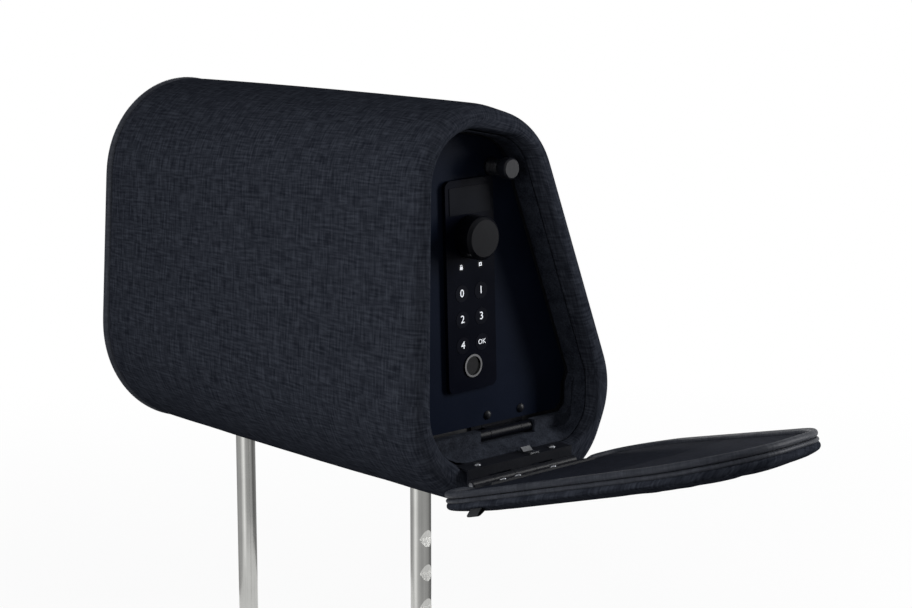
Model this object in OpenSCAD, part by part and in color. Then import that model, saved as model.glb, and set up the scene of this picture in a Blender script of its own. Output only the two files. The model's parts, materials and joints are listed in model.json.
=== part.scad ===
// Headrest safe: a padded headrest on two steel posts that hides a steel lock box.
// X runs along the headrest towards the lock end, -Y is the side the head leans on, +Z is up.
// The origin lies midway between the posts, where they leave the underside.
// The padded flap is drawn hanging open on its stop, and the lock door is drawn shut.

/* [Headrest body] */
// Length of the padded wrap from the end cap's piping to the lip of the lock end
body_l = 288; // [260:1:330]
// Distance from the posts' middle to the lip
near_x = 144.5; // [138:0.5:160]
// Height of the recess above the underside
body_h = 221.7; // [216:0.1:236]
// Distance from the posts' axes to the recess on the head side
front_y = 60.5; // [58:0.5:62]
// Distance from the posts' axes to the recess on the back
back_y = 94.3; // [92:0.5:97]
// Corner radius of the recess at the foot of the head side
front_low_r = 50; // [46:1:54]
// Corner radius of the recess at the foot of the back
back_low_r = 37; // [34:1:40]
// Radius of the recess where the foot of the back turns into the slope
back_mid_r = 43; // [38:1:46]
// Radius of the recess at the top of the slope
top_back_r = 43; // [38:1:46]
// Radius of the recess at the top of the head side
top_front_r = 44; // [40:1:48]
// Distance of the recess's top centre behind the posts' axes
top_back_y = 4.5; // [2:0.5:7]
// Extra padding under the box
base_z = 9; // [8:0.5:12]
// Corner radius of the padding at the foot of the head side, lock end
foot_near_r = 60.8; // [56:0.4:64]
// Corner radius of the padding at the foot of the head side, far end
foot_far_r = 68; // [60:0.5:70]
// Corner radius of the padding at the top of the head side, far end
top_far_r = 59.5; // [48:0.5:62]
// Thickness of the cover fabric with its backing
skin_t = 3.4; // [2.5:0.1:4.5]
// Rise of the padded faces from the ends to the middle
crown = 0.8; // [0:0.1:2]
// Width of the padded lip round the recess, measured to its crest
lip_w = 8.6; // [8:0.1:9]
// Depth of the recess from the lip to the front of the door
recess_d = 23; // [21:0.5:26]

/* [End cap] */
// Thickness of the end board
cap_board_t = 3.6; // [3:0.2:5]
// Radius of the piping at the far end
cap_piping_r = 2.6; // [2:0.1:3.2]
// Rise of the end cushion over its piping
cap_dome = 7; // [5:0.5:9]

/* [Posts] */
// Diameter of a post
post_d = 12; // [10:0.5:14]
// Distance between the posts' axes
post_gap = 165.5; // [140:0.5:180]
// Length of a post below the body
post_drop = 165; // [140:1:200]
// Depth of a height notch
notch_t = 2; // [1:0.1:3]
// Height of a notch at its mouth
notch_h = 10; // [6:0.5:12]
// Distance from one notch to the next
notch_pitch = 20.4; // [16:0.2:22]
// Distance from the body to the first notch
notch_first = 32; // [24:1:50]
// Number of notches in the right post
notch_count = 4; // [1:1:5]
// Radius of the threaded end of a post
stud_r = 4; // [3:0.5:4.5]
// Thickness of the post bracket's plate
bracket_t = 3; // [2:0.5:4]

/* [Safe box] */
// Depth of the padding between the cover and the box
box_inset = 16; // [15.6:0.1:17]
// Thickness of the box's sheet steel
box_t = 1.5; // [1:0.1:2]
// Gap between the end board and the box's back
box_back_gap = 3.2; // [3:0.2:8]
// Thickness of the door frame and of the door
plate_t = 2; // [1.5:0.1:2.4]
// Height of the frame's sill above the underside
sill_z = 43; // [42:0.5:45]
// Thickness of the floor mat
mat_t = 2; // [1:0.5:4]
// Thickness of the door seal
seal_t = 1.2; // [0.8:0.1:1.3]

/* [Door] */
// Space between the door's edge and the recess lining
door_gap = 0.7; // [0.5:0.1:1]
// Height of the door's bottom edge
door_z = 39; // [38.6:0.1:39.4]
// Height of the door hinge's axis
hinge_z = 34; // [33.8:0.1:34.2]
// Distance of the door hinge's axis in front of the door
hinge_out = 3; // [2.8:0.1:3.4]
// Place of the hinge's middle along the door
hinge_y = 25; // [20:1:28]
// Length of the door hinge
hinge_l = 40; // [34:1:44]
// Radius of a door hinge knuckle
knuckle_r = 3; // [2.6:0.1:3]
// Radius of both hinges' pins
pin_r = 1.5; // [1.2:0.1:1.6]
// Clearance of turning fits, on the radius
run = 0.05; // [0.02:0.01:0.09]
// How far the door opens, in degrees
door_open = 68; // [40:1:70]

/* [Lock] */
// Width of the lock panel
panel_w = 35.8; // [34:0.2:38]
// Height of the lock panel
panel_h = 117.6; // [114:0.2:120]
// Thickness of the lock panel
panel_t = 2.4; // [2:0.1:3]
// Place of the panel's middle from the posts' axes
panel_y = 0.8; // [-1:0.1:2]
// Distance from the top of the recess to the panel's middle
panel_drop = 102; // [101:0.1:103]
// Lean of the panel in the door, in degrees
panel_lean = 1.7; // [0:0.1:3]
// Diameter of the knob
knob_d = 24; // [21:0.5:25]
// Height of the knob
knob_h = 11.6; // [9:0.2:13]
// Height of the knob's axis above the panel's middle
knob_up = 27.2; // [26.6:0.1:27.8]
// Turn of the knob, in degrees
knob_turn = 90; // [90:1:90]
// Travel of the locking bar
bar_travel = 7; // [6:0.2:7.4]
// Diameter of a key
key_d = 9.4; // [8:0.2:10]
// Travel of a key
key_travel = 0.8; // [0.5:0.1:1]
// Distance between the key columns
key_dx = 14.2; // [13:0.1:15]
// Distance between the key rows
key_dz = 14.5; // [12.5:0.1:15]
// Height of the top key row below the panel's middle
key_top = 3.7; // [3:0.1:5]
// Diameter of the fingerprint sensor's ring
sensor_d = 12.9; // [11:0.1:14]
// Height of the sensor below the panel's middle
sensor_down = 45.1; // [45:0.1:47]
// Height of the status lamps above the panel's middle
lamp_up = 10.8; // [10:0.1:11.5]
// Diameter of the pull knob's head
pull_d = 11.6; // [9:0.2:12]
// Length of the pull knob
pull_l = 17.4; // [12:0.2:18.4]

/* [Flap] */
// Angle of the open flap above level, in degrees
flap_rise = 16.5; // [5:0.5:30]
// Distance of the flap's hinge axis in front of the lip
flap_out = 5.5; // [5.5:0.1:8]
// Height of the flap's hinge axis
flap_z = 16.4; // [15.6:0.1:18]
// Height of the hinge leaf that rests on the lip
leaf_z = 23.4; // [23:0.1:24]
// How far the flap stands out past the body's outline
flap_outset = 3.5; // [2:0.5:6]
// Thickness of the flap's board
flap_board_t = 3; // [2:0.2:4]
// Thickness of the felt lining
lining_t = 1.4; // [1:0.1:2]
// Radius of the bead round the flap's inner face
bead_r = 3; // [2.4:0.1:3.6]
// Radius of the piping under the bead
piping_r = 1.8; // [1.4:0.1:2.2]
// Radius of the flap's corners beside the hinge
flap_corner_r = 16; // [10:1:20]
// Height of the flap's cushion
flap_dome = 7; // [5:0.5:12]
// Middle of the flap hinge along Y
flap_hinge_y = 16; // [14:1:17]
// Length of the flap hinge
flap_hinge_l = 80; // [70:1:84]

/* [Hidden] */
$fn = 48;
eps = 0.02;
fit = 0.2;
foam_gap = 0.6;
far_x = near_x - body_l;
post_r = post_d / 2;

// An outline is a convex path round five circles, each [y, z, radius].
// The box, the door, the recess and the flap follow the recess outline.
recess_circles = [
    [-front_y + front_low_r, base_z + front_low_r, front_low_r],
    [back_y - back_low_r, base_z + back_low_r, back_low_r],
    [back_y - back_mid_r, base_z + back_mid_r + 3, back_mid_r],
    [top_back_y, body_h - top_back_r - 4, top_back_r],
    [-front_y + 1 + top_front_r, body_h - top_front_r, top_front_r]
];
// The padding is fuller below and behind, and its head side grows rounder to the far end.
near_circles = [
    [-front_y - 1.1 + foot_near_r, foot_near_r, foot_near_r],
    [back_y - 3 - back_low_r - 7, back_low_r + 7, back_low_r + 7],
    [back_y + 1.2 - back_mid_r - 3.5, base_z + back_mid_r + 1.8, back_mid_r + 3.5],
    [top_back_y - 4.3, body_h - top_back_r - 10.6, top_back_r + 6.6],
    [-front_y + 4.3 + top_front_r + 1, body_h - 0.4 - top_front_r - 1, top_front_r + 1]
];
far_top = [-front_y + 1.4 + top_far_r, body_h - 2.2 - top_far_r, top_far_r];
far_back_r = near_circles[3][2];
far_circles = [
    [-front_y - 4.5 + foot_far_r, foot_far_r, foot_far_r],
    near_circles[1],
    near_circles[2],
    [far_top[0] + (top_far_r - far_back_r + 1) * cos(23),
        far_top[1] + (top_far_r - far_back_r + 1) * sin(23), far_back_r],
    far_top
];
function body_circles(x) = let (t = (near_x - x) / body_l)
    [for (i = [0 : 4]) (1 - t) * near_circles[i] + t * far_circles[i]];
outline_steps = [9, 9, 3, 6, 10];

// Direction of the outward normal on the straight run from circle a to circle b.
function run_normal(a, b) = let (d = [b[0] - a[0], b[1] - a[1]])
    atan2(d[1], d[0]) - 90 + asin(max(-1, min(1, (a[2] - b[2]) / norm(d))));
function after(a, b) = a < b - 1e-6 ? after(a + 360, b) : a - b >= 360 ? after(a - 360, b) : a;
function wrap_path(circles, steps, inset) = [
    for (i = [0 : len(circles) - 1])
        let (n = len(circles), c = circles[i],
            a0 = run_normal(circles[(i + n - 1) % n], c),
            a1 = after(run_normal(c, circles[(i + 1) % n]), a0))
        for (k = [0 : steps[i]])
            let (a = a0 + (a1 - a0) * k / steps[i])
            [c[0] + (c[2] - inset) * cos(a), c[1] + (c[2] - inset) * sin(a)]
];
function recess_outline(inset) = wrap_path(recess_circles, outline_steps, inset);
outline_mid = [(back_y - front_y) / 2 - 6, body_h / 2 - 4];
function shrunk(points, scale, mid) = [for (p = points) mid + scale * (p - mid)];

// A solid through sections, each [x, inset, scale about mid], with x rising.
// Without circles of its own, a solid follows the padding's outline at each x.
function loft_points(sections, circles, steps, mid) = [
    for (s = sections)
        for (p = shrunk(wrap_path(len(circles) > 0 ? circles : body_circles(s[0]), steps, s[1]),
            s[2], mid)) [s[0], p[0], p[1]]
];
function loft_faces(n, m) = concat(
    [for (i = [0 : m - 2]) for (k = [0 : n - 1])
        [i * n + k, i * n + (k + 1) % n, (i + 1) * n + (k + 1) % n]],
    [for (i = [0 : m - 2]) for (k = [0 : n - 1])
        [i * n + k, (i + 1) * n + (k + 1) % n, (i + 1) * n + k]],
    [for (k = [1 : n - 2]) [0, k + 1, k]],
    [for (k = [1 : n - 2]) [(m - 1) * n, (m - 1) * n + k, (m - 1) * n + k + 1]]
);
module loft(sections, circles = [], steps = outline_steps, mid = outline_mid) {
    n = len(wrap_path(len(circles) > 0 ? circles : near_circles, steps, 0));
    polyhedron(loft_points(sections, circles, steps, mid),
        [for (f = loft_faces(n, len(sections))) [f[2], f[1], f[0]]], convexity = 4);
}

// A flat outline in Y and Z, drawn out along X.
module slab(x0, x1) {
    translate([x0, 0, 0]) rotate([90, 0, 90]) linear_extrude(x1 - x0) children();
}
module recess_shape(inset) { polygon(recess_outline(inset)); }
module body_shape(x, inset) { polygon(wrap_path(body_circles(x), outline_steps, inset)); }
module xcyl(y, z, r, x0, x1) {
    translate([x0, y, z]) rotate([0, 90, 0]) cylinder(r = r, h = x1 - x0);
}
module ycyl(x, z, r, y0, y1) {
    translate([x, y0, z]) rotate([-90, 0, 0]) cylinder(r = r, h = y1 - y0);
}
module zcyl(x, y, r, z0, z1) { translate([x, y, z0]) cylinder(r = r, h = z1 - z0); }
module block(a, b) { translate(a) cube(b - a); }
// A round rivet or screw head on a face that looks towards +X.
module dome_head(y, z, r, x, rise) {
    translate([x, y, z]) rotate([0, 90, 0]) rotate_extrude()
        polygon(concat([[0, 0], [r, 0]], [for (a = [15 : 15 : 90]) [r * cos(a), rise * sin(a)]]));
}

// Places along X, from the far end to the lock end.
wrap_x0 = far_x + 2 * cap_piping_r;
board_x0 = far_x + cap_piping_r - cap_board_t / 2;
foam_x0 = board_x0 + cap_board_t + fit;
box_x0 = foam_x0 + box_back_gap;
door_front = near_x - recess_d;
door_back = door_front - plate_t;
frame_front = door_back - 1.5;
frame_back = frame_front - plate_t;
foam_x1 = near_x - 7.5;
box_foot = base_z + box_inset;
panel_z = body_h - panel_drop;
wall_inset = box_inset - 1;
cavity_inset = wall_inset + 0.2;
liner_inset = cavity_inset + 0.8;
door_inset = liner_inset + door_gap;

// Padded cover: crowned along its length, drawn in at both ends, rolled in round the recess.
function crown_at(x) = crown * pow(x / near_x, 2);
cover_sections = concat(
    [[wrap_x0, 3.2, 1], [wrap_x0 + 1, 1.8, 1], [wrap_x0 + 4, 0.8, 1]],
    [for (k = [0 : 3]) let (x = wrap_x0 + 14 + k * (body_l - 50) / 3) [x, crown_at(x), 1]],
    [[near_x - 9, 0.9, 1], [near_x - 5, 2, 1], [near_x - 2.4, 3.9, 1],
        [near_x - 0.8, 6.2, 1], [near_x, lip_w, 1]]);
mouth_sections = [[door_front - 0.5, wall_inset, 1], [near_x - 4.5, wall_inset - 0.8, 1],
    [near_x - 1.5, wall_inset - 1.6, 1],
    [near_x + eps, wall_inset - 3, 1], [near_x + 2, wall_inset - 4, 1]];
leaf_seat_z = leaf_z;
leaf_seat_x = near_x - 8;

module hinge_seat(extra) {
    block([leaf_seat_x - extra, flap_hinge_y - flap_hinge_l / 2 - 1 - extra, leaf_seat_z],
        [near_x + 5, flap_hinge_y + flap_hinge_l / 2 + 1 + extra, base_z + wall_inset + 5]);
}
module post_holes(z0, z1) {
    for (s = [-1, 1]) zcyl(s * post_gap / 2, 0, post_r + fit, z0, z1);
}
module cover() {
    color("#23262d") difference() {
        loft(cover_sections);
        difference() {
            loft([[wrap_x0 - 5, skin_t, 1], [foam_x1 + fit, skin_t, 1]]);
            slab(door_front - 0.4, near_x) recess_shape(wall_inset - 2.2);
        }
        loft(mouth_sections, recess_circles);
        hinge_seat(0);
        post_holes(-5, skin_t + 5);
        for (s = [-1, 1]) translate([s * post_gap / 2, 0, -1])
            cylinder(r1 = post_r + 9, r2 = post_r + 5, h = 3);
    }
}
bracket_x = post_gap / 2 + 19;
bracket_y = 18;
sleeve_r = post_r + 3;
plate_z = box_foot - bracket_t;
module foam_padding() {
    color("#1c1d21") difference() {
        loft([[foam_x0, skin_t + foam_gap, 1], [foam_x1, skin_t + foam_gap, 1]]);
        slab(box_x0 - fit, door_front - 0.6) recess_shape(box_inset - fit);
        slab(door_front - 0.7, foam_x1 + 1) recess_shape(wall_inset - 2.4);
        block([-bracket_x - fit, -bracket_y - fit, plate_z - fit],
            [bracket_x + fit, bracket_y + fit, box_foot + 1]);
        for (s = [-1, 1]) zcyl(s * post_gap / 2, 0, sleeve_r + fit, -1, box_foot);
        for (x = bolt_xs) for (y = bolt_ys) zcyl(x, y, 6.4, plate_z - 6, box_foot);
        hinge_seat(0);
    }
}

// Far end: a board, a piping and a domed cushion close the wrap.
module end_board() {
    color("#2b2c30")
        loft([[board_x0, skin_t + fit, 1], [board_x0 + cap_board_t, skin_t + fit, 1]]);
}
module ring_bead(x, out, r, side) {
    // Eight-sided bead along the outline, made of stacked rings.
    for (k = [-1 : 1])
        slab(x + (2 * k - 1) * r / 3, x + (2 * k + 1) * r / 3 + (k < 1 ? eps : 0)) difference() {
            body_shape(x, out - (k == 0 ? r : 0.72 * r));
            body_shape(x, out + side);
        }
}
module end_piping() {
    color("#3b3e46") ring_bead(far_x + cap_piping_r, cap_piping_r + 0.2, cap_piping_r, 0.2);
}
module end_cushion() {
    x0 = board_x0;
    color("#23262d") difference() {
        loft([[x0 - cap_dome, 34, 0.6], [x0 - 0.95 * cap_dome, 32, 0.84],
            [x0 - 0.82 * cap_dome, 26, 0.97], [x0 - 0.6 * cap_dome, 17, 1],
            [x0 - 0.34 * cap_dome, 10, 1], [x0, 5, 1]]);
        end_piping();
    }
}

// Posts: the threaded end goes through the bracket and the box's floor.
floor_z = box_foot + box_t;
washer_t = 1.5;
nut_h = 6.5;
stud_top = floor_z + washer_t + nut_h + 1;
seat_r = post_r - 0.2;
module post(x, notched) {
    color("#a9acb0") difference() {
        union() {
            zcyl(x, 0, post_r, -post_drop + 2, 1.5);
            zcyl(x, 0, seat_r, 1.5 - eps, plate_z);
            zcyl(x, 0, stud_r, plate_z - 1, stud_top);
            translate([x, 0, -post_drop]) cylinder(r1 = post_r - 2, r2 = post_r, h = 2 + eps);
        }
        if (notched) for (k = [0 : notch_count - 1])
            translate([x + post_r - notch_t, post_r + 1, -notch_first - k * notch_pitch])
                rotate([90, 0, 0]) linear_extrude(2 * post_r + 2)
                    polygon([[0, 0], [notch_t + 1, notch_h / 2 * (1 + 1 / notch_t)],
                        [notch_t + 1, -notch_h / 2 * (1 + 1 / notch_t)]]);
    }
}
module post_left() { post(-post_gap / 2, false); }
module post_right() { post(post_gap / 2, true); }
bolt_xs = [-42, 42];
bolt_ys = [-5, 13];
bolt_r = 2.5;
module post_bracket() {
    color("#55585d") difference() {
        union() {
            block([-bracket_x, -bracket_y, plate_z], [bracket_x, bracket_y, box_foot]);
            for (s = [-1, 1]) zcyl(s * post_gap / 2, 0, sleeve_r, skin_t + 1, plate_z + eps);
        }
        for (s = [-1, 1]) {
            zcyl(s * post_gap / 2, 0, seat_r, -1, plate_z);
            zcyl(s * post_gap / 2, 0, stud_r + 0.1, plate_z - 1, box_foot + 1);
        }
        for (x = bolt_xs) for (y = bolt_ys)
            zcyl(x, y, bolt_r + 0.1, plate_z - 1, box_foot + 1);
    }
}
module post_washers() {
    color("#b9bbbd") for (s = [-1, 1]) difference() {
        zcyl(s * post_gap / 2, 0, stud_r + 5, floor_z, floor_z + washer_t);
        zcyl(s * post_gap / 2, 0, stud_r + 0.1, floor_z - 1, floor_z + washer_t + 1);
    }
}
module post_nuts() {
    z0 = floor_z + washer_t;
    color("#b9bbbd") for (s = [-1, 1]) difference() {
        translate([s * post_gap / 2, 0, z0]) cylinder(r = stud_r * 1.9, h = nut_h, $fn = 6);
        zcyl(s * post_gap / 2, 0, stud_r, z0 - 1, z0 + nut_h + 1);
    }
}
module bracket_bolts() {
    color("#b9bbbd") for (x = bolt_xs) for (y = bolt_ys) {
        zcyl(x, y, bolt_r, plate_z - 1, floor_z + 4);
        translate([x, y, plate_z - 4]) cylinder(r = 2 * bolt_r, h = 4, $fn = 6);
        translate([x, y, floor_z]) cylinder(r = 2 * bolt_r, h = 3.4, $fn = 6);
    }
}

// Steel box: a folded shell with a welded back, open towards the door.
module safe_box() {
    color("#2e3136") difference() {
        slab(box_x0, frame_front) recess_shape(box_inset);
        slab(box_x0 + box_t, frame_front + 1) recess_shape(box_inset + box_t);
        for (s = [-1, 1]) zcyl(s * post_gap / 2, 0, stud_r + 0.1, box_foot - 1, floor_z + 1);
        for (x = bolt_xs) for (y = bolt_ys)
            zcyl(x, y, bolt_r + 0.1, box_foot - 1, floor_z + 1);
    }
}
jamb_y = -front_y + box_inset + 8.5;
frame_rim = box_inset + 5.5;
module frame_opening(inset) {
    intersection() {
        recess_shape(inset);
        translate([jamb_y, sill_z]) square([200, 200]);
    }
}
module door_frame() {
    color("#2e3136") slab(frame_back, frame_front) difference() {
        recess_shape(box_inset + box_t);
        frame_opening(frame_rim);
    }
}
module door_seal() {
    color("#15161a") slab(frame_front, frame_front + seal_t) difference() {
        intersection() {
            recess_shape(box_inset + 2.4);
            translate([-200, sill_z + 14]) square([400, 200]);
        }
        frame_opening(frame_rim - 0.6);
    }
}
module floor_mat() {
    color("#1c1d20") difference() {
        intersection() {
            slab(box_x0 + box_t + 1, frame_back - 1) recess_shape(box_inset + box_t + fit);
            block([-200, -200, 0], [200, 200, floor_z + mat_t]);
        }
        for (s = [-1, 1]) zcyl(s * post_gap / 2, 0, stud_r + 5.4, 0, floor_z + mat_t + 1);
        for (x = bolt_xs) for (y = bolt_ys) zcyl(x, y, 2 * bolt_r + 0.4, 0, floor_z + 20);
    }
}

// Recess trim: a thin liner with a thick sill and a filled lower corner behind the lip.
hinge_x = door_front + hinge_out;
riser_x0 = hinge_x - 1.3;
riser_x1 = hinge_x + 4;
riser_z = door_z - 1.5;
ledge_z = hinge_z - knuckle_r - 0.6;
trim_x1 = near_x - 8.2;
corner_y = back_y - 18.8;
module corner_mask(grow, low) {
    polygon([[-200, low], [corner_y - 5 + grow, low], [corner_y - 0.5 + grow, low + 3.6],
        [corner_y + grow, low + 8], [corner_y + grow, door_z + 14], [corner_y + 8 + grow, door_z + 34],
        [corner_y + 8 + grow, 300], [-200, 300]]);
}
module trim_hole(inset, grow, low) {
    intersection() {
        recess_shape(inset);
        corner_mask(grow, low);
    }
}
module recess_trim() {
    color("#4a4e57") difference() {
        slab(riser_x0, trim_x1) recess_shape(cavity_inset);
        slab(riser_x0 - 1, riser_x1 + eps) trim_hole(liner_inset, 0, riser_z);
        hull() {
            slab(riser_x1, riser_x1 + eps) trim_hole(liner_inset, 0, ledge_z);
            slab(trim_x1, trim_x1 + eps)
                trim_hole(cavity_inset + 0.5, 10, base_z + cavity_inset + 0.5);
        }
        block([riser_x0 - 1, hinge_y - hinge_l / 2 - 1, ledge_z],
            [riser_x1 + 1, hinge_y + hinge_l / 2 + 1, riser_z + 1]);
    }
}

// Door hinge: two fixed knuckles, one on the door, and a pin.
knuckle_w = 8;
knuckle_gap = 0.3;
hinge_y0 = hinge_y - hinge_l / 2;
hinge_y1 = hinge_y + hinge_l / 2;
leaf_t = 1.4;
module door_hinge_fixed_leaf() {
    color("#8d9094") difference() {
        union() {
            block([frame_front, hinge_y0, hinge_z - 4], [frame_front + leaf_t, hinge_y1, hinge_z - 1]);
            for (y = [hinge_y0, hinge_y1 - knuckle_w]) {
                block([frame_front, y, hinge_z - 3], [hinge_x, y + knuckle_w, hinge_z - 1.6]);
                block([frame_front, y, hinge_z - 4], [frame_front + leaf_t, y + knuckle_w, hinge_z + 5]);
                ycyl(hinge_x, hinge_z, knuckle_r, y, y + knuckle_w);
            }
        }
        ycyl(hinge_x, hinge_z, pin_r, hinge_y0 - 1, hinge_y1 + 1);
    }
}
module door_hinge_pin() {
    color("#c4c6c8") ycyl(hinge_x, hinge_z, pin_r, hinge_y0, hinge_y1);
}
module door_hinge_leaf() {
    y0 = hinge_y0 + knuckle_w + knuckle_gap;
    y1 = hinge_y1 - knuckle_w - knuckle_gap;
    color("#8d9094") difference() {
        union() {
            block([door_back - leaf_t, hinge_y0 + 4, hinge_z + 6],
                [door_back, hinge_y1 + 2, hinge_z + 20]);
            block([door_back - leaf_t, y0, hinge_z + 1.4], [door_back, y1, hinge_z + 7]);
            block([door_back - leaf_t, y0, hinge_z + 1.4], [hinge_x, y1, hinge_z + 2.8]);
            ycyl(hinge_x, hinge_z, knuckle_r, y0, y1);
        }
        ycyl(hinge_x, hinge_z, pin_r + run, y0 - 1, y1 + 1);
        for (s = [-1, 1]) xcyl(rivet_y(s), rivet_z, rivet_r, door_back - 5, door_back + 1);
    }
}
rivet_r = 1.6;
rivet_z = hinge_z + 10;
function rivet_y(s) = hinge_y + 3.5 + s * (hinge_l / 2 - 7.1);
module door_rivets() {
    color("#1b1d21") for (s = [-1, 1]) {
        xcyl(rivet_y(s), rivet_z, rivet_r, door_back - leaf_t, door_front + eps);
        dome_head(rivet_y(s), rivet_z, 2.6, door_front, 1.5);
    }
}

// Door plate with the lock's cut-outs.
function on_panel(u, v) = [panel_y + u * cos(panel_lean) - v * sin(panel_lean),
    panel_z + u * sin(panel_lean) + v * cos(panel_lean)];
module at_panel(u, v) {
    p = on_panel(u, v);
    translate([0, p[0], p[1]]) rotate([panel_lean, 0, 0]) children();
}
knob_at = on_panel(0, knob_up);
key_r = key_d / 2;
key_places = [for (row = [0 : 2]) for (s = [-1, 1])
    on_panel(s * key_dx / 2, -key_top - row * key_dz)];
sensor_at = on_panel(0, -sensor_down);
lamp_places = [for (s = [-1, 1]) on_panel(s * key_dx / 2, lamp_up)];
spindle_r = 3;
window_low = -sensor_down - sensor_d / 2 + 0.6;
window_high = lamp_up + 3.4;
// The door's foot is cut back on the head side, so that it clears the recess as it swings down.
module foot_mask() {
    polygon([[-front_y + 26.1, door_z - 1], [-front_y + 22.9, door_z + 11],
        [-front_y + 15, door_z + 27], [-front_y + 5, door_z + 60], [-front_y + 5, 400],
        [200, 400], [200, door_z - 1]]);
}
module door_plate() {
    color("#2c2f36") difference() {
        slab(door_back, door_front) intersection() {
            recess_shape(door_inset);
            corner_mask(-1.6, door_z);
            foot_mask();
        }
        at_panel(0, 0) block([door_back - 1, -panel_w / 2 + 4, window_low],
            [door_front + 1, panel_w / 2 - 4, window_high]);
        xcyl(knob_at[0], knob_at[1], spindle_r + 1, door_back - 1, door_front + 1);
        for (s = [-1, 1]) xcyl(rivet_y(s), rivet_z, rivet_r, door_back - 1, door_front + 1);
        xcyl(pull_y, pull_z, 1.8, door_back - 1, door_front + 1);
        for (p = housing_screw_places) xcyl(p[0], p[1], 1.5, door_back - 1, door_front - 0.8);
    }
}
pull_y = 17.2;
pull_z = panel_z + panel_h / 2 + pull_d / 2 - 0.7;
module pull_knob() {
    r = pull_d / 2;
    color("#1d1f24") union() {
        translate([door_front, pull_y, pull_z]) rotate([0, 90, 0]) rotate_extrude() polygon([
            [0, 0], [r - 0.8, 0], [r - 0.8, 1.6], [r - 1.4, 2.4], [r - 2.2, 3.4], [r - 1.3, 4.6], [r - 2.2, 5.8],
            [r - 1.3, 7], [r - 2.2, 8.2], [r - 2.2, pull_l - 7], [r, pull_l - 5.6],
            [r, pull_l - 0.8], [r - 0.8, pull_l], [0, pull_l]]);
        xcyl(pull_y, pull_z, 1.8, door_back - 1.2, door_front + eps);
        xcyl(pull_y, pull_z, 2.4, door_back - 1.2, door_back);
    }
}

// Lock: gloss faceplate, keys, sensor, lamps and the parts behind the door.
panel_front = door_front + panel_t;
corner_r = 4;
module panel_shape(grow) {
    w = panel_w / 2 - corner_r;
    h = panel_h / 2 - corner_r;
    polygon(wrap_path([[-w, -h, corner_r], [w, -h, corner_r], [w, h, corner_r], [-w, h, corner_r]],
        [6, 6, 6, 6], -grow));
}
label_w = 30;
label_h = 15;
label_up = panel_h / 2 - 4 - label_h / 2;
label_t = 1;
module lock_faceplate() {
    color("#0d0e11") difference() {
        translate([0, panel_y, panel_z]) rotate([panel_lean, 0, 0])
            slab(door_front, panel_front) panel_shape(0);
        for (p = key_places) xcyl(p[0], p[1], key_r + 0.1, door_front - 1, panel_front + 1);
        for (p = lamp_places) xcyl(p[0], p[1], lamp_r, door_front - 1, panel_front + 1);
        xcyl(sensor_at[0], sensor_at[1], sensor_d / 2, door_front - 1, panel_front + 1);
        xcyl(knob_at[0], knob_at[1], spindle_r + run, door_front - 1, panel_front + 1);
        at_panel(0, label_up) block([panel_front - label_t, -label_w / 2, -label_h / 2],
            [panel_front + 1, label_w / 2, label_h / 2]);
    }
}
module label_plate() {
    color("#2a2c33") at_panel(0, label_up)
        block([panel_front - label_t, -label_w / 2, -label_h / 2],
            [panel_front + 0.3, label_w / 2, label_h / 2]);
}
lamp_r = 2.2;
module status_lamps() {
    color("#e8e8ea") for (p = lamp_places) xcyl(p[0], p[1], lamp_r, board_front, panel_front);
}
module sensor_ring() {
    color("#d5d7da") difference() {
        xcyl(sensor_at[0], sensor_at[1], sensor_d / 2, door_front, panel_front + 0.7);
        xcyl(sensor_at[0], sensor_at[1], sensor_d / 2 - 1.1, door_front - 1, panel_front + 1);
    }
}
module sensor_window() {
    color("#15171b")
        xcyl(sensor_at[0], sensor_at[1], sensor_d / 2 - 1.1, board_front, panel_front - 0.3);
}
board_t = 1.6;
board_front = door_back - 2;
module key(i) {
    p = key_places[i];
    color("#15171b") xcyl(p[0], p[1], key_r, board_front + key_travel + 0.15, panel_front + 0.15);
}
module key_0() { key(0); }
module key_1() { key(1); }
module key_2() { key(2); }
module key_3() { key(3); }
module key_4() { key(4); }
module key_ok() { key(5); }

// Knob, spindle, cam and locking bar turn and slide together.
knob_gap = 0.3;
knob_base = panel_front + knob_gap;
knob_r = knob_d / 2;
crank_r = bar_travel / 2 / sin(45);
crank_pin_r = 2;
cam_x1 = door_back - 6;
cam_x0 = cam_x1 - 3;
bar_x1 = cam_x0 - 0.4;
bar_x0 = bar_x1 - 3;
module knob() {
    color("#101114") difference() {
        translate([knob_base, knob_at[0], knob_at[1]]) rotate([0, 90, 0]) rotate_extrude($fn = 72)
            polygon([[0, 0], [knob_r, 0], [knob_r, knob_h - 1.8], [knob_r - 0.5, knob_h - 1.2],
                [knob_r - 1.9, knob_h], [0, knob_h]]);
        xcyl(knob_at[0], knob_at[1], spindle_r, knob_base - 1, knob_base + knob_h - 3);
    }
}
module knob_spindle() {
    color("#9b9ea2")
        xcyl(knob_at[0], knob_at[1], spindle_r, cam_x0, knob_base + knob_h - 3);
}
module knob_cam() {
    color("#9b9ea2") {
        difference() {
            xcyl(knob_at[0], knob_at[1], crank_r + crank_pin_r + 1.2, cam_x0, cam_x1);
            xcyl(knob_at[0], knob_at[1], spindle_r, cam_x0 - 1, cam_x1 + 1);
        }
        xcyl(knob_at[0] + crank_r * cos(45), knob_at[1] + crank_r * sin(45), crank_pin_r,
            bar_x0, cam_x0 + eps);
    }
}
jamb_gap = 1.2;
bolt_end = jamb_y + jamb_gap;
prong_h = 8;
bar_half = 17;
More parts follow.
